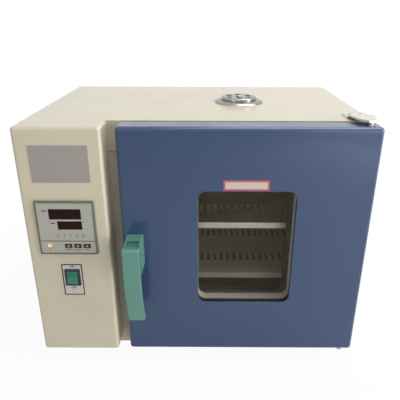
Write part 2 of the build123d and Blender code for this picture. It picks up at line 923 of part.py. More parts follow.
def hinge_washer_ring():
    ring = rod_z(bush_flange_radius, bracket_top, bracket_top + hinge_washer, pivot_x, pivot_y)
    return ring - rod_z(pin_radius, bracket_top - past, bracket_top + hinge_washer + past, pivot_x, pivot_y)


def hinge_bushes():
    bore = pin_radius + pin_clearance
    upper = rod_z(bush_radius, bush_bottom, door_top, pivot_x, pivot_y)
    lower = rod_z(bush_radius, door_bottom, lower_bush_top, pivot_x, pivot_y)
    lower += rod_z(bush_flange_radius, door_bottom - bush_flange, door_bottom, pivot_x, pivot_y)
    upper -= rod_z(bore, bush_bottom - past, door_top + past, pivot_x, pivot_y)
    lower -= rod_z(bore, door_bottom - bush_flange - past, lower_bush_top + past, pivot_x, pivot_y)
    return group([upper, lower])


# A pan-head screw with a cross in it: its head sits at Z = 0 and its shank points down
def pan_screw(length, turn):
    head = Pos(0, 0, screw_head / 2) * Cylinder(screw_head_radius, screw_head)
    head = fillet(head.faces().sort_by(Axis.Z)[-1].edges(), screw_round)
    cross = Box(cross_length, cross_width, 2 * cross_depth) + Box(cross_width, cross_length, 2 * cross_depth)
    head -= Pos(0, 0, screw_head) * Rot(0, 0, turn) * cross
    return head + Pos(0, 0, -length / 2) * Cylinder(screw_radius, length)


def pan_head_screws():
    screws = []
    for x, y in hinge_screw_places():
        screws.append(Pos(x, y, top_z + hinge_plate) * pan_screw(hinge_screw_length, hinge_screw_turn))
    for x, z in bracket_screw_places():
        screw = pan_screw(bracket_leg + sheet + bracket_screw_end, bracket_screw_turn)
        screws.append(Pos(x, -bracket_leg, z) * Rot(90, 0, 0) * screw)
    for x, z in back_screw_places():
        screws.append(Pos(x, body_depth, z) * Rot(-90, 0, 0) * pan_screw(sheet, back_screw_turn))
    for y, z in motor_bolt_places():
        screw = pan_screw(motor_flange + sheet + motor_screw_end, motor_screw_turn)
        screws.append(Pos(divider_left - motor_flange, y, z) * Rot(0, -90, 0) * screw)
    return group(screws)


# Door
def door_skin():
    outer = block(door_left, door_right, door_front, door_back, door_bottom, door_top)
    bends = list(outer.edges().group_by(Axis.Y)[0]) + list(edges_along(outer, Axis.Y))
    outer = fillet(bends, door_radius)
    inner = block(door_left + door_sheet, door_right - door_sheet, door_front + door_sheet,
                  door_back + past, door_bottom + door_sheet, door_top - door_sheet)
    bends = list(inner.edges().group_by(Axis.Y)[0]) + list(edges_along(inner, Axis.Y))
    outer -= fillet(bends, door_radius - door_sheet)
    opening = rounded_slab(window_width, window_height, window_radius, door_front - past,
                           door_front + door_sheet + past, window_x, window_z)
    outer -= opening
    near_x = window_width / 2 + past
    near_z = window_height / 2 + past
    rim = [edge for edge in outer.edges().group_by(Axis.Y)[0]
           if abs(edge.center().X - window_x) < near_x and abs(edge.center().Z - window_z) < near_z]
    outer = fillet(rim, window_round)
    through = door_sheet + past
    outer -= rod_z(bush_radius, door_top - through, door_top + past, pivot_x, pivot_y)
    outer -= rod_z(bush_radius, door_bottom - past, door_bottom + through, pivot_x, pivot_y)
    outer -= rod_y(release_radius + release_hole, door_front - past, door_front + through, handle_x, cam_z)
    return outer


# At the back the window is lower, and narrower on the hinge side only
def rear_opening(y0, y1):
    return rounded_slab(window_width - window_side_step, window_height - 2 * window_step,
                        rear_window_radius, y0, y1, window_x - window_side_step / 2, window_z)


def door_inner_panel():
    plate = block(door_left + door_sheet, door_right - door_sheet, panel_front, door_back,
                  door_bottom + door_sheet, door_top - door_sheet)
    plate = fillet(edges_along(plate, Axis.Y), door_radius - door_sheet)
    plate -= rear_opening(panel_front - past, door_back + past)
    plate -= rod_y(release_radius + release_hole, panel_front - past, door_back + past, handle_x, cam_z)
    return plate


def seal_width():
    return window_width + 2 * (glass_overlap + seal_rim)


def seal_height():
    return window_height + 2 * (glass_overlap + seal_rim)


def glass_slab(y0):
    return rounded_slab(window_width + 2 * glass_overlap, window_height + 2 * glass_overlap,
                        window_radius, y0, y0 + glass_thickness, window_x, window_z)


def outer_glass_y():
    return door_front + door_sheet + seal_lip


def inner_glass_y():
    return panel_front - seal_lip - glass_thickness


def window_seals():
    y0 = door_front + door_sheet
    front = rounded_slab(seal_width(), seal_height(), window_radius + seal_rim, y0, y0 + front_seal_depth,
                         window_x, window_z)
    front -= rounded_slab(window_width + 2 * seal_setback, window_height + 2 * seal_setback,
                          window_radius + seal_setback, y0 - past, y0 + front_seal_depth + past,
                          window_x, window_z)
    front -= glass_slab(outer_glass_y())
    y1 = panel_front
    rear = rounded_slab(seal_width(), seal_height(), window_radius + seal_rim, y1 - rear_seal_depth, y1,
                        window_x, window_z)
    rear -= rear_opening(y1 - rear_seal_depth - past, y1 + past)
    rear -= glass_slab(inner_glass_y())
    return group([front, rear])


def window_spacer():
    y0 = door_front + door_sheet + front_seal_depth
    y1 = panel_front - rear_seal_depth
    tube = rounded_slab(window_width + 2 * spacer_wall, window_height + 2 * spacer_wall,
                        window_radius + spacer_wall, y0, y1, window_x, window_z)
    return tube - rounded_slab(window_width, window_height, window_radius, y0 - past, y1 + past,
                               window_x, window_z)


def door_insulation():
    gap = wool_gap
    y0 = door_front + door_sheet + gap
    y1 = panel_front - gap
    wool = block(door_left + door_sheet + gap, door_right - door_sheet - gap, y0, y1,
                 door_bottom + door_sheet + gap, door_top - door_sheet - gap)
    wool = fillet(list(wool.edges().group_by(Axis.Y)[0]) + list(edges_along(wool, Axis.Y)), door_radius)
    wool -= rounded_slab(seal_width() + 2 * gap, seal_height() + 2 * gap, window_radius + seal_rim,
                         y0 - past, y1 + past, window_x, window_z)
    wool -= rod_z(bush_radius + gap, bush_bottom - past, door_top, pivot_x, pivot_y)
    wool -= rod_z(bush_radius + gap, door_bottom, lower_bush_top + past, pivot_x, pivot_y)
    wool -= rod_y(release_radius + 2 * release_hole, y0 - past, y1 + past, handle_x, cam_z)
    return wool


def door_gasket():
    inner_x = chamber_width + 2 * gasket_margin
    inner_z = chamber_height + 2 * gasket_margin
    ring = rounded_slab(inner_x + 2 * gasket_width, inner_z + 2 * gasket_width, gasket_radius,
                        door_back, -gasket_gap, window_x, window_z)
    ring -= rounded_slab(inner_x, inner_z, gasket_inner_radius, door_back - past, past, window_x, window_z)
    crown = ring.edges().group_by(Axis.Y)[-1]
    return fillet(crown, gasket_round)


# Handle
def handle_base():
    body = block(handle_left, handle_right, base_front, door_front, base_bottom, base_top)
    body = fillet(edges_along(body, Axis.Y), handle_edge)
    x0 = handle_left + cheek
    x1 = handle_right - cheek
    low = base_bottom + cheek
    body -= block(x0, x1, base_front - past, door_front - base_back, low, base_top - base_roof)
    body -= block(x0, x1, base_front - past, door_front - base_roof_reach, low, base_top + past)
    body -= rod_x(lever_pin_radius, handle_left - past, handle_right + past, lever_pivot_y, lever_pivot_z)
    bore = release_radius + pin_clearance
    body -= rod_y(bore, door_front - base_back - past, door_front + past, handle_x, cam_z)
    return body


def lever_profile():
    bend_z = lever_top - lever_straight
    centre_y = lever_front + lever_curve_radius
    drop = bend_z - lever_bottom
    foot_y = centre_y - math.sqrt(lever_curve_radius ** 2 - drop ** 2)
    mid_y = centre_y - math.sqrt(lever_curve_radius ** 2 - (drop / 2) ** 2)
    back_radius = lever_curve_radius - lever_thickness
    tip_z = lever_bottom + tip_height
    tip_y = centre_y - math.sqrt(back_radius ** 2 - (bend_z - tip_z) ** 2)
    mid_tip_z = (bend_z + tip_z) / 2
    mid_tip_y = centre_y - math.sqrt(back_radius ** 2 - (bend_z - mid_tip_z) ** 2)
    sides = [
        Line((lever_front, lever_top), (lever_front, bend_z)),
        ThreePointArc((lever_front, bend_z), (mid_y, bend_z - drop / 2), (foot_y, lever_bottom)),
        Line((foot_y, lever_bottom), (foot_y + lever_thickness + tip_bulge, lever_bottom)),
        Line((foot_y + lever_thickness + tip_bulge, lever_bottom), (tip_y, tip_z)),
        ThreePointArc((tip_y, tip_z), (mid_tip_y, mid_tip_z), (lever_back, bend_z)),
        Line((lever_back, bend_z), (lever_back, lever_top)),
        Line((lever_back, lever_top), (lever_front, lever_top)),
    ]
    return make_face(Curve() + sides)


def handle_lever():
    paddle = Pos(handle_left, 0, 0) * extrude(Plane.YZ * lever_profile(), amount=handle_width)
    top_edges = paddle.edges().filter_by(Axis.X).sort_by(Axis.Z)[-2:]
    paddle = chamfer(top_edges.sort_by(Axis.Y)[0], lever_bevel)
    outline = [edge for edge in paddle.edges() if abs(edge.center().X - handle_x) > handle_width / 2 - past]
    paddle = fillet([edge for edge in outline if edge.center().Y < lever_back - past
                     or edge.geom_type == GeomType.CIRCLE], lever_edge)
    x0 = handle_x - hub_width / 2
    x1 = handle_x + hub_width / 2
    hub = block(x0, x1, lever_back - past, lever_pivot_y, lever_pivot_z - hub_radius, cam_z)
    hub += rod_x(hub_radius, x0, x1, lever_pivot_y, lever_pivot_z)
    hub += block(x0, x1, lever_pivot_y - cam_radius, lever_pivot_y + cam_radius, lever_pivot_z, cam_z)
    hub += rod_x(cam_radius, x0, x1, lever_pivot_y, cam_z)
    lever = paddle + hub
    bore = lever_pin_radius + pin_clearance
    return lever - rod_x(bore, x0 - past, x1 + past, lever_pivot_y, lever_pivot_z)


def lever_pin():
    return rod_x(lever_pin_radius, handle_left, handle_right, lever_pivot_y, lever_pivot_z)


def release_pin():
    pin = rod_y(release_radius, release_start, door_back + release_stub, handle_x, cam_z)
    head = rod_y(release_head_radius, release_start, release_start + release_head, handle_x, cam_z)
    return pin + head


def catch_tongue():
    foot = block(tongue_left, tongue_right + tongue_foot_side, door_back, door_back + tongue_foot,
                 tongue_z - tongue_foot_height / 2, tongue_z + tongue_foot_height / 2)
    blade = block(tongue_left, tongue_right, door_back, door_back + tongue_reach,
                  tongue_z - tongue_height / 2, tongue_z + tongue_height / 2)
    blade = fillet(edges_along(blade, Axis.X).group_by(Axis.Y)[-1], tongue_round)
    return foot + blade


def roller_catch():
    x0 = catch_left - catch_wall
    x1 = catch_right + catch_wall
    low = tongue_z - catch_height / 2
    high = tongue_z + catch_height / 2
    shell = block(x0, x1, sheet, sheet + catch_depth, low, high)
    shell -= block(catch_left, catch_right, sheet - past, sheet + catch_depth + past, low + catch_wall,
                   high - catch_wall)
    offset = tongue_height / 2 + roller_gap + roller_radius
    rollers = []
    for z in (tongue_z - offset, tongue_z + offset):
        shell -= rod_x(roller_axle_radius, x0 - past, x1 + past, roller_depth, z)
        roller = rod_x(roller_radius, catch_left + roller_end_gap, catch_right - roller_end_gap,
                       roller_depth, z)
        roller += rod_x(roller_axle_radius, x0, x1, roller_depth, z)
        rollers.append(roller)
    return group([shell] + rollers)


# Controller
def face_place(x, drop):
    return bezel_left + x, bezel_top - drop


def face_window(x, drop, width, height, y0, y1):
    cx, cz = face_place(x, drop)
    return block(cx - width / 2, cx + width / 2, y0, y1, cz - height / 2, cz + height / 2)


def display_windows(y0, y1):
    upper = face_window(upper_display_x, upper_display_drop, upper_display_width, upper_display_height,
                        y0, y1)
    lower = face_window(lower_display_x, lower_display_drop, lower_display_width, lower_display_height,
                        y0, y1)
    return [upper, lower]


def lamp_rods(y0, y1):
    rods = []
    for i in range(led_count):
        x, z = face_place(led_first_x + i * led_pitch, led_drop)
        rods.append(rod_y(led_radius, y0, y1, x, z))
    x, z = face_place(lamp_x, lamp_drop)
    rods.append(rod_y(lamp_radius, y0, y1, x, z))
    return rods


def button_block(index, grow, y0, y1):
    x = button_first_x + index * button_pitch
    return face_window(x, button_drop, button_width + 2 * grow, button_height + 2 * grow, y0, y1)


def controller_bezel():
    half = bezel_size / 2
    frame = block(controller_x - half, controller_x + half, bezel_front, control_front,
                  controller_z - half, controller_z + half)
    frame = fillet(edges_along(frame, Axis.Y), bezel_corner)
    frame = fillet(frame.edges().group_by(Axis.Y)[0], bezel_edge)
    pocket = half - bezel_rim
    frame -= block(controller_x - pocket, controller_x + pocket, bezel_front - past, face_back,
                   controller_z - pocket, controller_z + pocket)
    inside = pocket - bezel_seat
    frame -= block(controller_x - inside, controller_x + inside, bezel_front, control_front + past,
                   controller_z - inside, controller_z + inside)
    return frame


def controller_face():
    half = bezel_size / 2 - bezel_rim
    plate = block(controller_x - half, controller_x + half, face_front, face_back,
                  controller_z - half, controller_z + half)
    plate -= display_windows(face_front - past, face_back + past)
    plate -= lamp_rods(face_front - past, face_back + past)
    for index in range(len(button_names)):
        plate -= button_block(index, button_gap, face_front - past, face_back + past)
    return plate


def controller_displays():
    return group(display_windows(face_front + display_recess, face_back))


def controller_lamps():
    return group(lamp_rods(face_front - lamp_proud, face_back))


def controller_button(index):
    y0 = face_front - button_proud
    key = button_block(index, 0, y0, y0 + button_depth)
    return fillet(key.edges().group_by(Axis.Y)[0], button_edge)


def controller_case():
    half = controller_case_size / 2
    case = block(controller_x - half, controller_x + half, control_front,
                 control_front + controller_case_depth, controller_z - half, controller_z + half)
    return fillet(edges_along(case, Axis.Y), controller_case_corner)


def controller_board():
    half = bezel_size / 2 - bezel_rim - bezel_seat - board_gap
    return block(controller_x - half, controller_x + half, control_front - board_thickness, control_front,
                 controller_z - half, controller_z + half)


# Switch and plates
def switch_plate():
    z = switch_z - switch_plate_drop
    plate = block(switch_x - switch_plate_width / 2, switch_x + switch_plate_width / 2, plate_front,
                  control_front, z - switch_plate_height / 2, z + switch_plate_height / 2)
    return plate - switch_cut(plate_front - past, control_front + past)


def switch_housing():
    body = switch_cut(plate_front, plate_front + switch_body_depth)
    half_x = switch_flange_width / 2
    half_z = switch_flange_height / 2
    flange = block(switch_x - half_x, switch_x + half_x, switch_front, plate_front,
                   switch_z - half_z, switch_z + half_z)
    flange = fillet(edges_along(flange, Axis.Y), switch_corner)
    flange = fillet(flange.edges().group_by(Axis.Y)[0], switch_edge)
    body += flange
    half_x = rocker_width / 2 + rocker_gap
    half_z = rocker_half + rocker_end_gap
    depth = rocker_pivot_depth + rocker_back + rocker_room
    body -= block(switch_x - half_x, switch_x + half_x, switch_front - past, switch_front + depth,
                  switch_z - half_z, switch_z + half_z)
    reach = rocker_width / 2 + rocker_axle + rocker_axle_gap
    bore = rocker_axle_radius + pin_clearance
    body -= rod_x(bore, switch_x - reach, switch_x + reach, rocker_y, switch_z)
    return body


def switch_rocker():
    rise = rocker_half * math.tan(math.radians(rocker_tilt))
    corners = [(-rocker_crest, 0), (-rocker_crest - rise, rocker_half), (rocker_shoulder, rocker_side),
               (rocker_back, rocker_foot), (rocker_back, -rocker_foot), (rocker_shoulder, -rocker_side),
               (-rocker_crest - rise, -rocker_half)]
    outline = make_face(Polyline(*corners, close=True))
    key = Pos(-rocker_width / 2, 0, 0) * extrude(Plane.YZ * outline, amount=rocker_width)
    reach = rocker_width / 2 + rocker_axle
    key += rod_x(rocker_axle_radius, -reach, reach, 0, 0)
    return Pos(switch_x, rocker_y, switch_z) * Rot(-rocker_tilt, 0, 0) * key


def label_plate():
    plate = block(label_x - label_width / 2, label_x + label_width / 2, plate_front, control_front,
                  label_z - label_height / 2, label_z + label_height / 2)
    return fillet(edges_along(plate, Axis.Y), label_corner)


def door_label():
    z0 = window_z + window_height / 2 + notice_rise - notice_height / 2
    x = window_x - notice_shift
    return block(x - notice_width / 2, x + notice_width / 2, door_front - notice_thickness, door_front,
                 z0, z0 + notice_height)


# Electrical parts
def relay():
    width, depth, height = relay_size
    body = block(divider_left - width, divider_left, relay_y, relay_y + depth, relay_z, relay_z + height)
    body = fillet(edges_along(body, Axis.X), relay_edge)
    for y in (relay_y + relay_pin_inset_y, relay_y + depth - relay_pin_inset_y):
        for z in (relay_z + relay_pin_inset_z, relay_z + height - relay_pin_inset_z):
            body += rod_x(relay_pin_radius, divider_left - width - relay_pin, divider_left - width, y, z)
    return body


def terminal_block():
    width, depth, height = terminal_size
    body = block(terminal_x, terminal_x + width, terminal_y, terminal_y + depth,
                 floor_top, floor_top + height)
    pitch = width / terminal_slots
    for i in range(terminal_slots):
        x = terminal_x + pitch * (i + 0.5)
        body -= block(x - terminal_slot_width / 2, x + terminal_slot_width / 2, terminal_y - past,
                      terminal_y + terminal_slot_depth, floor_top + height - terminal_slot_height,
                      floor_top + height + past)
    return body


# Back
def cable_gland():
    body = rod_y(gland_thread_radius, inner_back - gland_in, body_depth, gland_x, gland_z)
    hexagon = extrude(RegularPolygon(gland_nut_radius, 6), amount=gland_nut)
    lay = Pos(gland_x, body_depth + gland_nut, gland_z) * Rot(90, 0, 0)
    body += lay * hexagon
    lay = Pos(gland_x, inner_back, gland_z) * Rot(90, 0, 0)
    body += lay * hexagon
    dome = Cone(gland_thread_radius + gland_shoulder, gland_bore + gland_lip, gland_out - gland_nut)
    body += Pos(gland_x, body_depth + (gland_out + gland_nut) / 2, gland_z) * Rot(-90, 0, 0) * dome
    return body - rod_y(gland_bore, inner_back - gland_in - past, rear_most + past, gland_x, gland_z)


def back_screw_places():
    low = floor_top + back_screw_inset
    high = inner_top - back_screw_inset
    first = inner_left + back_screw_inset
    last = inner_right - back_screw_inset
    places = []
    for i in range(back_screw_columns):
        x = first + (last - first) * i / (back_screw_columns - 1)
        places += [(x, low), (x, high)]
    for i in range(1, back_screw_rows - 1):
        z = low + (high - low) * i / (back_screw_rows - 1)
        places += [(first, z), (last, z)]
    return places


def build_nodes():
    header_line = top_z - header_height
    nodes = {
        "outer_casing": outer_casing(),
        "control_cover": control_cover(),
        "front_header": frame_sheet(header_line, inner_top),
        "front_frame": frame_sheet(base_z, header_line - seam_gap),
        "back_panel": back_panel(),
        "base_panel": base_panel(),
        "compartment_divider": compartment_divider(),
        "rubber_feet": rubber_feet(),
        "inner_chamber": inner_chamber(),
        "insulation": insulation(),
        "duct_baffle": duct_baffle(),
        "heater_element": heater_element(),
        "temperature_probe": temperature_probe(),
        "fan_motor": fan_motor(),
        "fan_shaft": fan_shaft(),
        "fan_impeller": fan_impeller(),
        "shelf_runners": shelf_runners(),
        "vent_tube": vent_tube(),
        "vent_flange": vent_flange(),
        "vent_shutter": vent_shutter(),
        "vent_rivet": vent_rivet(),
        "hinge_plate_top": hinge_plate_top(),
        "hinge_bracket_bottom": hinge_bracket_bottom(),
        "hinge_pins": hinge_pins(),
        "hinge_washer": hinge_washer_ring(),
        "hinge_bushes": hinge_bushes(),
        "pan_head_screws": pan_head_screws(),
        "door_skin": door_skin(),
        "door_inner_panel": door_inner_panel(),
        "door_insulation": door_insulation(),
        "outer_glass": glass_slab(outer_glass_y()),
        "inner_glass": glass_slab(inner_glass_y()),
        "window_seals": window_seals(),
        "window_spacer": window_spacer(),
        "door_gasket": door_gasket(),
        "door_label": door_label(),
        "handle_base": handle_base(),
        "handle_lever": handle_lever(),
        "lever_pin": lever_pin(),
        "release_pin": release_pin(),
        "catch_tongue": catch_tongue(),
        "roller_catch": roller_catch(),
        "controller_bezel": controller_bezel(),
        "controller_face": controller_face(),
        "controller_displays": controller_displays(),
        "controller_lamps": controller_lamps(),
        "controller_case": controller_case(),
        "controller_board": controller_board(),
        "label_plate": label_plate(),
        "switch_plate": switch_plate(),
        "switch_housing": switch_housing(),
        "switch_rocker": switch_rocker(),
        "relay": relay(),
        "terminal_block": terminal_block(),
        "cable_gland": cable_gland(),
    }
    for name, height in zip(shelf_names, shelf_heights):
        nodes[name] = shelf(height)
    for index, name in enumerate(button_names):
        nodes[name] = controller_button(index)
    return nodes


os.makedirs("parts", exist_ok=True)
for node, shape in build_nodes().items():
    export_step(Pos(0, -middle_y, 0) * shape, "parts/" + node + ".step")
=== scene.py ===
import math

import bmesh
import bpy
from mathutils import Matrix, Vector


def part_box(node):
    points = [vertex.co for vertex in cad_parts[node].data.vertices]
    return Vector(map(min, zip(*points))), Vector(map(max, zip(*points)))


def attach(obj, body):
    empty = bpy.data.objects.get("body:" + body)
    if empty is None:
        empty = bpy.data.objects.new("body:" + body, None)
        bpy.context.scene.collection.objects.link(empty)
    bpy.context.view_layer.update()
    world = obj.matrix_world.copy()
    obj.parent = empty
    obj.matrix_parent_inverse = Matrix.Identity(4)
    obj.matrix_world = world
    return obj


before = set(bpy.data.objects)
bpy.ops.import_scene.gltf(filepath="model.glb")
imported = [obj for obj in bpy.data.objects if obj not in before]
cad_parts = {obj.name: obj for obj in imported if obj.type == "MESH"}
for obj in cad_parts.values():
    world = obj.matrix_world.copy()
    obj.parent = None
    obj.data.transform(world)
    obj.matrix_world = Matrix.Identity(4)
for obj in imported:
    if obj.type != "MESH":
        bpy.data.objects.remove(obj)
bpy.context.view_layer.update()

mm = 0.001
print("frame loaded with", len(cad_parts), "nodes")


class Wire:
    # one output of a shader node, so that sums on it read as plain Python
    def __init__(self, shader, socket):
        self.shader = shader
        self.socket = socket

    def sum(self, operation, first, second):
        return self.shader.node("Math", {"operation": operation}, {0: first, 1: second})

    def __add__(self, other):
        return self.sum("ADD", self, other)

    def __radd__(self, other):
        return self.sum("ADD", other, self)

    def __mul__(self, other):
        return self.sum("MULTIPLY", self, other)

    def __rmul__(self, other):
        return self.sum("MULTIPLY", other, self)

    def __gt__(self, other):
        return self.sum("GREATER_THAN", self, other)


class Shader:
    # a material whose nodes are added one call at a time
    def __init__(self, name):
        self.material = bpy.data.materials.new(name)
        self.material.use_nodes = True
        self.tree = self.material.node_tree
        self.tree.nodes.clear()
        self.place = self.node("TexCoord", {}, {}, "Object")

    def node(self, kind, settings, sockets, output=0):
        made = self.tree.nodes.new("ShaderNode" + kind)
        for key, value in settings.items():
            if key == "stops":
                ramp = made.color_ramp.elements
                while len(ramp) < len(value):
                    ramp.new(0.5)
                for stop, (position, colour) in zip(ramp, value):
                    stop.position = position
                    stop.color = (*colour, 1)
            else:
                setattr(made, key, value)
        for key, value in sockets.items():
            if isinstance(value, Wire):
                self.tree.links.new(value.socket, made.inputs[key])
            else:
                made.inputs[key].default_value = value
        return Wire(self, made.outputs[output]) if len(made.outputs) else None

    def noise(self, scale, detail=2.0, stretch=(1, 1, 1), roughness=0.5):
        spot = self.place
        if stretch != (1, 1, 1):
            spot = self.node("Mapping", {}, {"Vector": self.place, "Scale": stretch})
        return self.node("TexNoise", {}, {"Vector": spot, "Scale": scale, "Detail": detail,
                                          "Roughness": roughness})

    def ramp(self, value, *stops):
        greys = [(position, (grey, grey, grey)) for position, grey in stops]
        return self.node("ValToRGB", {"stops": greys}, {0: value})

    def blend(self, first, second, factor):
        tones = {0: factor, 6: first, 7: second}
        tones = {key: (*value, 1) if isinstance(value, tuple) else value for key, value in tones.items()}
        return self.node("Mix", {"data_type": "RGBA"}, tones, 2)

    def shades(self, colour, dark, light, factor):
        # one colour between a darker and a lighter share of itself
        return self.blend(shade(colour, dark), shade(colour, light), factor)

    def axis(self, index):
        return self.node("SeparateXYZ", {}, {0: self.place}, index)

    def bump(self, height, depth):
        return self.node("Bump", {}, {"Height": height, "Distance": depth, "Strength": 1.0})

    def surface(self, sockets):
        body = self.node("BsdfPrincipled", {}, sockets)
        self.node("OutputMaterial", {}, {"Surface": body})
        return self.material


def shade(colour, share):
    return tuple(min(1.0, channel * share) for channel in colour)


# In the dictionaries of the finishes a noise is given as scale, detail, stretch and roughness,
# a ramp as its stops, and tones as the darkest and the lightest share of the colour.

# baked enamel: a fine orange peel, faint clouding and handling marks in the gloss
enamel = {"peel": (620.0, 2.0), "peelDepth": 0.05 * mm, "cloud": (7.0, 4.0), "tones": (0.94, 1.06),
          "smudge": (16.0, 5.0, (1, 1, 0.6), 0.65), "smudgeStops": ((0.45, 0.0), (0.75, 1.0)),
          "rough": 0.30, "smudgeRough": 0.16, "coatRough": 0.10}


def enamelPaint(name, colour, coat, ior=1.5):
    s = Shader(name)
    tone = s.shades(colour, *enamel["tones"], s.noise(*enamel["cloud"]))
    smudge = s.ramp(s.noise(*enamel["smudge"]), *enamel["smudgeStops"])
    peel = s.noise(*enamel["peel"])
    return s.surface({"Base Color": tone, "Roughness": smudge * enamel["smudgeRough"] + enamel["rough"],
                      "Normal": s.bump(peel, enamel["peelDepth"]), "Coat Weight": coat,
                      "Coat Roughness": enamel["coatRough"], "IOR": ior})


# rolled stainless: fine streaks along one axis, with faint heat tint and finger marks
stainless = {"streak": 900.0, "along": 5.0, "streakDetail": 3.0, "streakGrain": 0.6, "depth": 0.02 * mm,
             "tones": (0.88, 1.08), "cloud": (9.0, 4.0), "heat": 0.8, "heatStops": ((0.4, 0.0), (0.8, 0.55)),
             "rough": 0.24, "streakRough": 0.16, "cloudRough": 0.1}


def stainlessSheet(name, colour, runs, rough=stainless["rough"], metallic=1.0):
    s = Shader(name)
    stretch = tuple(stainless["along"] if axis == runs else stainless["streak"] for axis in "xyz")
    streak = s.noise(1.0, stainless["streakDetail"], stretch, stainless["streakGrain"])
    cloud = s.noise(*stainless["cloud"])
    tone = s.shades(colour, *stainless["tones"], streak)
    tone = s.blend(tone, shade(colour, stainless["heat"]), s.ramp(cloud, *stainless["heatStops"]))
    marks = streak * stainless["streakRough"] + cloud * stainless["cloudRough"]
    return s.surface({"Base Color": tone, "Metallic": metallic, "Roughness": marks + rough,
                      "Normal": s.bump(streak, stainless["depth"])})


# plated steel and chrome: bright, with faint wiping marks
plating = {"wipe": (60.0, 4.0, (1, 3, 1)), "wipeRough": 0.12, "tones": (0.86, 1.1), "depth": 0.01 * mm}


def platedMetal(name, colour, rough, spangle):
    s = Shader(name)
    wipe = s.noise(*plating["wipe"])
    grain = s.noise(spangle)
    return s.surface({"Base Color": s.shades(colour, *plating["tones"], grain), "Metallic": 1.0,
                      "Roughness": wipe * plating["wipeRough"] + rough,
                      "Normal": s.bump(grain, plating["depth"])})


# moulded plastic: a matt spark-eroded grain and a slightly uneven tone
moulding = {"cloud": (18.0, 3.0), "cloudRough": 0.12, "tones": (0.9, 1.1), "coatRough": 0.1,
            "grain": 1400.0, "depth": 0.04 * mm}


def mouldedPlastic(name, colour, rough, grain=moulding["grain"], depth=moulding["depth"], coat=0.0):
    s = Shader(name)
    skin = s.noise(grain)
    cloud = s.noise(*moulding["cloud"])
    return s.surface({"Base Color": s.shades(colour, *moulding["tones"], cloud),
                      "Roughness": cloud * moulding["cloudRough"] + rough, "Coat Weight": coat,
                      "Coat Roughness": moulding["coatRough"], "Normal": s.bump(skin, depth)})


# rubber and silicone: matt, dusty in the hollows
rubber = {"skin": (900.0, 3.0), "depth": 0.06 * mm, "powder": (45.0, 5.0, (1, 1, 1), 0.7),
          "powderStops": ((0.5, 0.0), (0.8, 1.0)), "powderShare": 0.35, "powderRough": 0.15, "rough": 0.62}


def rubberSkin(name, colour, dust):
    s = Shader(name)
    skin = s.noise(*rubber["skin"])
    powder = s.ramp(s.noise(*rubber["powder"]), *rubber["powderStops"])
    return s.surface({"Base Color": s.blend(colour, dust, powder * rubber["powderShare"]),
                      "Roughness": powder * rubber["powderRough"] + rubber["rough"],
                      "Normal": s.bump(skin, rubber["depth"])})


# toughened glass: see-through with a faint haze
glass = {"haze": (14.0, 5.0, (1, 1, 0.5), 0.6), "hazeStops": ((0.5, 0.0), (0.9, 1.0)), "hazeRough": 0.12,
         "clear": (0.16, 0.15, 0.11), "hazy": (0.40, 0.38, 0.32), "rough": 0.04, "alpha": 0.04,
         "ior": 1.35}


def windowGlass(name):
    s = Shader(name)
    haze = s.ramp(s.noise(*glass["haze"]), *glass["hazeStops"])
    return s.surface({"Base Color": s.blend(glass["clear"], glass["hazy"], haze),
                      "Roughness": haze * glass["hazeRough"] + glass["rough"], "Alpha": glass["alpha"],
                      "IOR": glass["ior"]})


# mineral wool: yellow-grey fibres
wool = {"fibre": (380.0, 6.0, (1, 0.25, 1), 0.75), "clump": (55.0, 4.0), "clumpShare": 0.6,
        "dark": (0.42, 0.36, 0.22), "light": (0.74, 0.68, 0.50), "matted": (0.50, 0.42, 0.27),
        "depth": 1.2 * mm, "rough": 0.95}


def woolBlanket(name):
    s = Shader(name)
    fibre = s.noise(*wool["fibre"])
    clump = s.noise(*wool["clump"])
    tone = s.blend(wool["dark"], wool["light"], fibre)
    return s.surface({"Base Color": s.blend(tone, wool["matted"], clump * wool["clumpShare"]),
                      "Roughness": wool["rough"], "Normal": s.bump(fibre + clump, wool["depth"])})


# tinted display window with a faint vertical banding from the filter film
tint = {"band": (1.0, 1.0, (520, 4, 4)), "dark": (0.010, 0.003, 0.003), "light": (0.028, 0.007, 0.006),
        "bandRough": 0.08, "rough": 0.14, "ior": 1.25}


def displayFilter(name):
    s = Shader(name)
    band = s.noise(*tint["band"])
    return s.surface({"Base Color": s.blend(tint["dark"], tint["light"], band),
                      "Roughness": band * tint["bandRough"] + tint["rough"], "IOR": tint["ior"]})


# lamp lenses: the large lamp glows amber, the small ones above the line are unlit
lens = {"facet": (900.0, 1.0), "depth": 0.1 * mm, "amber": (0.80, 0.36, 0.14), "core": (0.98, 0.62, 0.34),
        "unlit": (0.035, 0.012, 0.008), "facetRough": 0.15, "rough": 0.2, "glow": 0.6}


def lampLenses(name, line):
    s = Shader(name)
    facet = s.noise(*lens["facet"])
    unlit = s.axis(2) > line
    glow = s.blend(lens["amber"], lens["core"], facet)
    return s.surface({"Base Color": s.blend(glow, lens["unlit"], unlit),
                      "Roughness": facet * lens["facetRough"] + lens["rough"],
                      "Emission Color": s.blend(glow, (0, 0, 0), unlit), "Emission Strength": lens["glow"],
                      "Normal": s.bump(facet, lens["depth"])})


# printed film and ink: flat tone, hairline texture and a little mottling
film = {"mottle": (260.0, 4.0), "mottleRough": 0.1, "rough": 0.42, "tones": (0.94, 1.06),
        "hairline": 2200.0, "depth": 0.012 * mm}


def printedFilm(name, colour, rough=film["rough"], ior=1.5):
    s = Shader(name)
    mottle = s.noise(*film["mottle"])
    return s.surface({"Base Color": s.shades(colour, *film["tones"], mottle),
                      "Roughness": mottle * film["mottleRough"] + rough, "IOR": ior,
                      "Normal": s.bump(s.noise(film["hairline"]), film["depth"])})


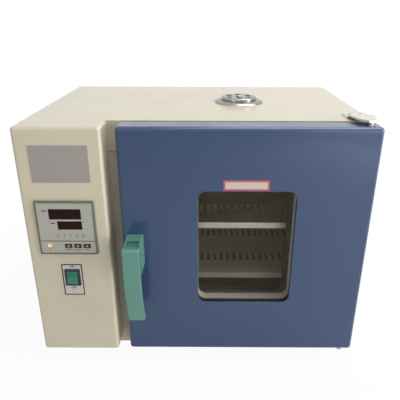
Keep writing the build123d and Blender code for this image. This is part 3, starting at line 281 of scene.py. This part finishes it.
# circuit board: green resist over a fine weave
board = {"weave": 1500.0, "dark": (0.02, 0.10, 0.05, 1), "light": (0.03, 0.16, 0.07, 1), "rough": 0.35,
         "skin": 700.0, "depth": 0.03 * mm}


def boardResist(name):
    s = Shader(name)
    weave = s.node("TexChecker", {}, {"Vector": s.place, "Scale": board["weave"],
                                      "Color1": board["dark"], "Color2": board["light"]})
    return s.surface({"Base Color": weave, "Roughness": board["rough"],
                      "Normal": s.bump(s.noise(board["skin"]), board["depth"])})


lampLow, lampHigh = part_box("controller_lamps")
paints = {paint.name: paint for paint in (
    enamelPaint("creamEnamel", (0.66, 0.60, 0.45), coat=0.35),
    enamelPaint("blueEnamel", (0.035, 0.067, 0.152), coat=0.7, ior=1.33),
    # the liner steel is coloured brown, with its metal turned down: a painted reflection of a warm room, not
    # a tint of the steel itself
    stainlessSheet("chamberSteelPaintedReflection", (0.44, 0.32, 0.15), "x", rough=0.26, metallic=0.6),
    # a lighter, less metallic copy of the same steel for the shelves and the window spacer: painted light
    # standing in for light falling on them
    stainlessSheet("shelfSteelPaintedLight", (0.74, 0.69, 0.56), "x", rough=0.24, metallic=0.45),
    stainlessSheet("steelAlongY", (0.52, 0.49, 0.42), "y"),
    stainlessSheet("steelAlongZ", (0.55, 0.52, 0.45), "z"),
    platedMetal("zincPlate", (0.68, 0.68, 0.62), rough=0.30, spangle=300.0),
    platedMetal("screwSteel", (0.50, 0.50, 0.48), rough=0.26, spangle=900.0),
    platedMetal("chromePlate", (0.32, 0.32, 0.31), rough=0.2, spangle=200.0),
    platedMetal("turnedBrass", (0.62, 0.44, 0.18), rough=0.28, spangle=700.0),
    mouldedPlastic("castMotor", (0.18, 0.19, 0.20), rough=0.55, grain=500.0, depth=0.2 * mm),
    stainlessSheet("heaterTube", (0.22, 0.20, 0.19), "x", rough=0.4),
    mouldedPlastic("tealPlastic", (0.110, 0.290, 0.230), rough=0.36, grain=1100.0, depth=0.03 * mm,
                   coat=0.15),
    mouldedPlastic("blackPlastic", (0.018, 0.018, 0.018), rough=0.38),
    mouldedPlastic("bezelPlastic", (0.16, 0.155, 0.11), rough=0.42),
    printedFilm("faceFilm", (0.43, 0.43, 0.37)),
    displayFilter("displayFilter"),
    lampLenses("lampLenses", line=(lampLow.z + lampHigh.z) / 2),
    rubberSkin("keyRubber", (0.020, 0.018, 0.016), dust=(0.08, 0.075, 0.07)),
    mouldedPlastic("greenRocker", (0.020, 0.185, 0.125), rough=0.22, grain=1500.0, depth=0.01 * mm,
                   coat=0.05),
    printedFilm("switchFilm", (0.66, 0.63, 0.60), rough=0.3),
    printedFilm("lilacFilm", (0.36, 0.325, 0.305), rough=0.5),
    printedFilm("noticeFilm", (0.62, 0.53, 0.44), rough=0.45),
    printedFilm("noticeRed", (0.50, 0.10, 0.14), rough=0.45),
    printedFilm("darkInk", (0.030, 0.025, 0.022), rough=0.5, ior=1.25),
    printedFilm("paleInk", (0.50, 0.49, 0.45), rough=0.5),
    printedFilm("rustInk", (0.15, 0.045, 0.025), rough=0.5, ior=1.25),
    printedFilm("brownInk", (0.040, 0.018, 0.012), rough=0.5, ior=1.25),
    printedFilm("segmentRed", (0.028, 0.007, 0.006), rough=0.3, ior=1.15),
    windowGlass("windowGlass"),
    rubberSkin("blackSilicone", (0.016, 0.016, 0.015), dust=(0.06, 0.06, 0.055)),
    rubberSkin("gasketSilicone", (0.50, 0.47, 0.42), dust=(0.62, 0.59, 0.54)),
    rubberSkin("footRubber", (0.025, 0.025, 0.024), dust=(0.12, 0.11, 0.10)),
    woolBlanket("mineralWool"),
    boardResist("circuitBoard"),
)}
print("paints mixed:", len(paints))

dressing = {
    "creamEnamel": ["outer_casing", "control_cover", "front_header", "front_frame", "back_panel",
                    "base_panel"],
    "blueEnamel": ["door_skin"],
    "chamberSteelPaintedReflection": ["inner_chamber", "duct_baffle"],
    "shelfSteelPaintedLight": ["shelf_lower", "shelf_upper", "shelf_runners", "window_spacer"],
    "steelAlongY": ["fan_impeller", "temperature_probe", "fan_shaft"],
    "steelAlongZ": ["door_inner_panel", "vent_tube", "compartment_divider"],
    "zincPlate": ["hinge_plate_top", "hinge_bracket_bottom", "catch_tongue"],
    "screwSteel": ["pan_head_screws", "hinge_pins", "hinge_bushes", "lever_pin", "release_pin",
                   "roller_catch"],
    "chromePlate": ["vent_flange", "vent_shutter", "vent_rivet"],
    "turnedBrass": ["hinge_washer"],
    "castMotor": ["fan_motor"],
    "heaterTube": ["heater_element"],
    "tealPlastic": ["handle_base", "handle_lever"],
    "blackPlastic": ["controller_case", "switch_housing", "relay", "terminal_block", "cable_gland"],
    "bezelPlastic": ["controller_bezel"],
    "faceFilm": ["controller_face"],
    "displayFilter": ["controller_displays"],
    "lampLenses": ["controller_lamps"],
    "keyRubber": ["set_button", "shift_button", "up_button"],
    "greenRocker": ["switch_rocker"],
    "switchFilm": ["switch_plate"],
    "lilacFilm": ["label_plate"],
    "noticeFilm": ["door_label"],
    "windowGlass": ["outer_glass", "inner_glass"],
    "blackSilicone": ["window_seals"],
    "gasketSilicone": ["door_gasket"],
    "footRubber": ["rubber_feet"],
    "mineralWool": ["insulation", "door_insulation"],
    "circuitBoard": ["controller_board"],
}


def dressNodes():
    for paint, names in dressing.items():
        for name in names:
            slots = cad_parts[name].data.materials
            slots.clear()
            slots.append(paints[paint])
    bare = set(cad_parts) - {name for names in dressing.values() for name in names}
    print("nodes dressed, left bare:", sorted(bare))


dressNodes()

quarter = math.pi / 2
upright = Matrix.Rotation(quarter, 4, "X")       # lays what is drawn flat against the front


def keepPiece(mesh, name, paint, body):
    mesh.name = name
    mesh.materials.clear()
    mesh.materials.append(paints[paint])
    piece = bpy.data.objects.new(name, mesh)
    bpy.context.scene.collection.objects.link(piece)
    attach(piece, body)


def meshFrom(bm, smooth=False):
    bmesh.ops.recalc_face_normals(bm, faces=bm.faces)
    for face in bm.faces:
        face.smooth = smooth
    mesh = bpy.data.meshes.new("mesh")
    bm.to_mesh(mesh)
    bm.free()
    return mesh


def addBlock(bm, low, high):
    middle = (Vector(low) + Vector(high)) / 2
    size = Vector(high) - Vector(low)
    place = Matrix.Translation(middle) @ Matrix.Diagonal((*size, 1))
    bmesh.ops.create_cube(bm, size=1, matrix=place)


def middleX(low, high):
    return (low.x + high.x) / 2


# prints stand this far out of the face that carries them, the marks on the keys half as far
ink = 0.04 * mm

# the digits of the two displays, all bars unlit: apart from the count, all values are shares of the
# window's height, the pitch or the digit
digits = {"count": 4, "ends": 0.4, "slant": 0.10, "tall": 0.62, "wide": 0.56, "bar": 0.13, "barThick": 1.15,
          "levelBar": 0.86, "uprightBar": 0.42}


def addSegment(bm, x, y, z, width, height):
    # a flat bar with six corners, pointed at its two ends
    across = width > height
    long, short = max(width, height), min(width, height)
    made = bmesh.ops.create_circle(bm, cap_ends=True, segments=6, radius=0.5)["verts"]
    bmesh.ops.scale(bm, vec=(long, short * digits["barThick"], 1), verts=made)
    turn = Matrix.Rotation(0 if across else quarter, 4, "Y") @ upright
    bmesh.ops.transform(bm, matrix=Matrix.Translation((x, y, z)) @ turn, verts=made)


def digitRow(name, low, high):
    bm = bmesh.new()
    y = low.y - ink
    tall = (high.z - low.z) * digits["tall"]
    pitch = (high.x - low.x) / (digits["count"] + digits["ends"])
    wide = pitch * digits["wide"]
    bar = tall * digits["bar"]
    middle = (low.z + high.z) / 2
    for i in range(digits["count"]):
        x = middleX(low, high) + (i - (digits["count"] - 1) / 2) * pitch
        for z in (-tall / 2, 0, tall / 2):
            addSegment(bm, x + z * digits["slant"], y, middle + z, wide * digits["levelBar"], bar)
        for side in (-1, 1):
            for half in (-tall / 4, tall / 4):
                addSegment(bm, x + side * wide / 2 + half * digits["slant"], y, middle + half, bar,
                           tall * digits["uprightBar"])
    keepPiece(meshFrom(bm), name, "segmentRed", "oven")


# loose triangles closer than this belong together
weld = 0.01 * mm


def looseBoxes(node):
    # the boxes of a node's separate solids, from its loose triangles
    bm = bmesh.new()
    bm.from_mesh(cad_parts[node].data)
    bmesh.ops.remove_doubles(bm, verts=bm.verts, dist=weld)
    left = set(bm.verts)
    boxes = []
    while left:
        island = {left.pop()}
        edge = set(island)
        while edge:
            edge = {e.other_vert(v) for v in edge for e in v.link_edges} & left
            left -= edge
            island |= edge
        low = Vector([min(v.co[i] for v in island) for i in range(3)])
        high = Vector([max(v.co[i] for v in island) for i in range(3)])
        boxes.append((low, high))
    bm.free()
    return boxes


# the front of the controller: drops are taken from the bezel's top, and each side bar has its place
# from the bezel's left edge, its drop and its width
front = {"lineDrop": 70.8 * mm, "lineHeight": 1.3 * mm, "dashHeight": 0.9 * mm, "lampDashDrop": 61.8 * mm,
         "lampDashes": (7.0 * mm, 3.0 * mm, 3.6 * mm, 5.4 * mm, 7.0 * mm), "keyDashDrop": 87.0 * mm,
         "keyDashes": (11.6 * mm, 11.6 * mm, 6.7 * mm), "bigLampDash": 4.4 * mm, "sideBarHeight": 1.9 * mm,
         "sideBars": ((15.0 * mm, 16.8 * mm, 7.1 * mm), (27.1 * mm, 38.4 * mm, 5.9 * mm))}
keyNames = ("set_button", "shift_button", "up_button")
markShare = 0.34         # of a key's height


def displayDigits():
    displays = sorted(looseBoxes("controller_displays"), key=lambda box: -box[0].z)
    digitRow("upperDigits", *displays[0])
    digitRow("lowerDigits", *displays[1])


def faceLine():
    low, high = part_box("controller_face")
    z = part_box("controller_bezel")[1].z - front["lineDrop"]
    half = front["lineHeight"] / 2
    bm = bmesh.new()
    addBlock(bm, (low.x, low.y - ink, z - half), (high.x, low.y, z + half))
    keepPiece(meshFrom(bm), "faceLine", "rustInk", "oven")


def frontDashes():
    # plain dashes under the lamps and keys and beside the displays
    bezelLow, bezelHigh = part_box("controller_bezel")
    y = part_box("controller_face")[0].y
    lenses = sorted(looseBoxes("controller_lamps"), key=lambda box: box[0].x)
    big = max(lenses, key=lambda box: box[1].x - box[0].x)
    lenses.remove(big)
    keys = sorted((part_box(name) for name in keyNames), key=lambda box: box[0].x)
    thin = front["dashHeight"]
    dashes = [(middleX(*box), front["lampDashDrop"], wide, thin)
              for box, wide in zip(lenses, front["lampDashes"])]
    dashes += [(middleX(*box), front["keyDashDrop"], wide, thin)
               for box, wide in zip(keys, front["keyDashes"])]
    dashes.append((middleX(*big), front["keyDashDrop"], front["bigLampDash"], thin))
    dashes += [(bezelLow.x + x, drop, wide, front["sideBarHeight"]) for x, drop, wide in front["sideBars"]]
    bm = bmesh.new()
    for x, drop, wide, tall in dashes:
        z = bezelHigh.z - drop
        addBlock(bm, (x - wide / 2, y - ink, z - tall / 2), (x + wide / 2, y, z + tall / 2))
    keepPiece(meshFrom(bm), "frontDashes", "darkInk", "oven")


def keyMark(name, node, body, turn):
    # a pale arrow head on the key's face
    low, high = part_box(node)
    bm = bmesh.new()
    radius = (high.z - low.z) * markShare
    made = bmesh.ops.create_circle(bm, cap_ends=True, segments=3, radius=radius)["verts"]
    place = Matrix.Translation((middleX(low, high), low.y - ink / 2, (low.z + high.z) / 2))
    bmesh.ops.transform(bm, matrix=place @ Matrix.Rotation(turn, 4, "Y") @ upright, verts=made)
    keepPiece(meshFrom(bm), name, "paleInk", body)


displayDigits()
faceLine()
frontDashes()
keyMark("setMark", "set_button", "set_key", -quarter)
keyMark("shiftMark", "shift_button", "shift_key", math.pi)
keyMark("upMark", "up_button", "up_key", 0.0)
print("controller front drawn")

# the switch plate: a dark frame line and the two words
plate = {"border": 1.9 * mm, "onRise": 5.1 * mm, "onWidth": 7.3 * mm, "offDrop": 4.8 * mm,
         "offWidth": 8.1 * mm, "shift": 0.7 * mm, "bold": 0.03}


def addFrame(bm, low, high, width):
    # four bars just inside a plate's outline
    for x0, x1, z0, z1 in ((low.x, high.x, high.z - width, high.z), (low.x, high.x, low.z, low.z + width),
                           (low.x, low.x + width, low.z + width, high.z - width),
                           (high.x - width, high.x, low.z + width, high.z - width)):
        addBlock(bm, (x0, low.y - ink, z0), (x1, low.y, z1))


def printedWord(text, name, width, x, y, z):
    curve = bpy.data.curves.new(name, "FONT")
    curve.body = text
    curve.align_x = "CENTER"
    curve.align_y = "CENTER"
    curve.offset = plate["bold"]
    drawn = bpy.data.objects.new(name, curve)
    bpy.context.scene.collection.objects.link(drawn)
    mesh = bpy.data.meshes.new_from_object(drawn.evaluated_get(bpy.context.evaluated_depsgraph_get()))
    bpy.data.objects.remove(drawn)
    drawnWidth = max(v.co.x for v in mesh.vertices) - min(v.co.x for v in mesh.vertices)
    mesh.transform(Matrix.Translation((x, y, z)) @ upright @ Matrix.Scale(width / drawnWidth, 4))
    keepPiece(mesh, name, "darkInk", "oven")


def switchPlate():
    low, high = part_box("switch_plate")
    housingLow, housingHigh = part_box("switch_housing")
    bm = bmesh.new()
    addFrame(bm, low, high, plate["border"])
    keepPiece(meshFrom(bm), "switchBorder", "brownInk", "oven")
    x = middleX(low, high)
    y = low.y - ink
    printedWord("ON", "wordOn", plate["onWidth"], x + plate["shift"], y, housingHigh.z + plate["onRise"])
    printedWord("OFF", "wordOff", plate["offWidth"], x - plate["shift"], y, housingLow.z - plate["offDrop"])
    print("switch plate drawn")


switchPlate()

# the plate above the window: a red border round a bare middle
noticeRim = 3.0 * mm


def noticeBorder():
    low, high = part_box("door_label")
    bm = bmesh.new()
    addFrame(bm, low, high, noticeRim)
    keepPiece(meshFrom(bm), "noticeBorder", "noticeRed", "door")
    print("notice border drawn")


noticeBorder()

# pressed hoods over the slots in the back
hood = {"count": 8, "width": 74.0 * mm, "height": 5.5 * mm, "proud": 4.0 * mm, "wall": 0.8 * mm,
        "lowest": 250.0 * mm, "pitch": 12.0 * mm, "around": 24, "along": 12}


def withEdgesAndFaces(verts):
    edges = dict.fromkeys(edge for vert in verts for edge in vert.link_edges)
    faces = dict.fromkeys(face for vert in verts for face in vert.link_faces)
    return [*verts, *edges, *faces]


def backHoods():
    # each is a quarter of a stretched ball, open below
    x = middleX(*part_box("control_cover"))
    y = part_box("back_panel")[1].y
    bm = bmesh.new()
    for i in range(hood["count"]):
        z = hood["lowest"] + i * hood["pitch"]
        made = bmesh.ops.create_uvsphere(bm, u_segments=hood["around"], v_segments=hood["along"],
                                         radius=1)["verts"]
        bmesh.ops.rotate(bm, cent=(0, 0, 0), matrix=Matrix.Rotation(quarter, 3, "Y"), verts=made)
        bmesh.ops.scale(bm, vec=(hood["width"] / 2, hood["proud"], hood["height"]), verts=made)
        bmesh.ops.translate(bm, vec=(x, y, z), verts=made)
        part = withEdgesAndFaces(made)
        for away in ((0, -1, 0), (0, 0, -1)):
            cut = bmesh.ops.bisect_plane(bm, geom=part, plane_co=(x, y, z), plane_no=away, clear_outer=True)
            part = [piece for piece in cut["geom"] if piece.is_valid]
    bmesh.ops.recalc_face_normals(bm, faces=bm.faces)
    bmesh.ops.solidify(bm, geom=bm.faces[:], thickness=hood["wall"])
    keepPiece(meshFrom(bm, True), "backHoods", "creamEnamel", "oven")
    print("back hoods pressed")


backHoods()

# the room, in metres and watts: a pale floor, a white background and soft lamps
room = {"floor": 6.0, "floorSides": 96, "floorTone": 0.86, "fade": (0.45, 0.8), "whiteNear": 0.95,
        "ambient": 0.08, "background": 1.0}
lamps = {
    "ceilingLamp": {"place": (0.55, -0.15, 2.1), "aim": (0.0, 0.0, 0.2), "size": (2.0, 1.3), "power": 31.0},
    "windowLamp": {"place": (2.2, -0.9, 0.9), "aim": (0.0, -0.1, 0.25), "size": (0.9, 1.6), "power": 38.0},
    "frontLamp": {"place": (-1.5, -2.2, 0.8), "aim": (0.0, 0.0, 0.2), "size": (0.9, 0.9), "power": 8.0},
    "lowLamp": {"place": (0.9, -1.6, 0.30), "aim": (0.08, 0.0, 0.05), "size": (0.8, 0.4), "power": 5.0},
}


def whiteFloor():
    bm = bmesh.new()
    bmesh.ops.create_circle(bm, cap_ends=True, segments=room["floorSides"], radius=room["floor"])
    mesh = meshFrom(bm)
    s = Shader("paleFloor")
    away = s.node("VectorMath", {"operation": "LENGTH"}, {0: s.place}, "Value")
    start, end = room["fade"]
    fade = s.node("MapRange", {}, {"Value": away, "From Min": start, "From Max": end})
    seen = s.node("LightPath", {}, {}, "Is Camera Ray")
    tone = room["floorTone"]
    matt = s.node("BsdfDiffuse", {}, {"Color": (tone, tone, tone, 1)})
    white = s.node("Emission", {}, {"Color": (1, 1, 1, 1), "Strength": 1.0})
    near = room["whiteNear"]
    mixed = s.node("MixShader", {}, {0: (fade * (1 - near) + near) * seen, 1: matt, 2: white})
    s.node("OutputMaterial", {}, {"Surface": mixed})
    mesh.materials.append(s.material)
    floor = bpy.data.objects.new("paleFloor", mesh)
    bpy.context.scene.collection.objects.link(floor)


def whiteWorld():
    # full white where it is seen or mirrored, and only a little light from it elsewhere
    world = bpy.data.worlds.new("softRoom")
    bpy.context.scene.world = world
    world.use_nodes = True
    tree = world.node_tree
    tree.nodes.clear()
    path = tree.nodes.new("ShaderNodeLightPath")
    seen = path.outputs["Is Camera Ray"]
    for ray in ("Is Glossy Ray", "Is Transmission Ray"):
        either = tree.nodes.new("ShaderNodeMath")
        either.operation = "MAXIMUM"
        tree.links.new(seen, either.inputs[0])
        tree.links.new(path.outputs[ray], either.inputs[1])
        seen = either.outputs[0]
    level = tree.nodes.new("ShaderNodeMapRange")
    tree.links.new(seen, level.inputs["Value"])
    level.inputs["To Min"].default_value = room["ambient"]
    level.inputs["To Max"].default_value = room["background"]
    back = tree.nodes.new("ShaderNodeBackground")
    back.inputs["Color"].default_value = (1, 1, 1, 1)
    tree.links.new(level.outputs[0], back.inputs["Strength"])
    out = tree.nodes.new("ShaderNodeOutputWorld")
    tree.links.new(back.outputs[0], out.inputs["Surface"])


def softLamps():
    for name, lamp in lamps.items():
        light = bpy.data.lights.new(name, "AREA")
        light.shape = "RECTANGLE"
        light.size, light.size_y = lamp["size"]
        light.energy = lamp["power"]
        holder = bpy.data.objects.new(name, light)
        bpy.context.scene.collection.objects.link(holder)
        holder.location = lamp["place"]
        aim = Vector(lamp["aim"]) - Vector(lamp["place"])
        holder.rotation_euler = aim.to_track_quat("-Z", "Y").to_euler()


# the photographer's place: in front, a little above, looking down; angles in degrees
shot = {"place": (12.3 * mm, -824.3 * mm, 606.2 * mm), "down": 22.32, "turn": 0.20, "roll": -0.15,
        "lens": 39.8, "sensor": 36.0, "shift": (-0.0108, -0.0145), "nearest": 10.0 * mm}


def photoCamera():
    camera = bpy.data.cameras.new("photoCamera")
    camera.sensor_width = shot["sensor"]
    camera.lens = shot["lens"]
    camera.shift_x, camera.shift_y = shot["shift"]
    camera.clip_start = shot["nearest"]
    holder = bpy.data.objects.new("photoCamera", camera)
    bpy.context.scene.collection.objects.link(holder)
    turn = Matrix.Rotation(math.radians(shot["turn"]), 4, "Z")
    tilt = Matrix.Rotation(math.radians(90 - shot["down"]), 4, "X")
    roll = Matrix.Rotation(math.radians(-shot["roll"]), 4, "Z")
    holder.matrix_world = Matrix.Translation(shot["place"]) @ turn @ tilt @ roll
    bpy.context.scene.camera = holder


whiteFloor()
whiteWorld()
softLamps()
photoCamera()
bpy.context.scene.view_settings.view_transform = "Standard"
print("room and camera set")
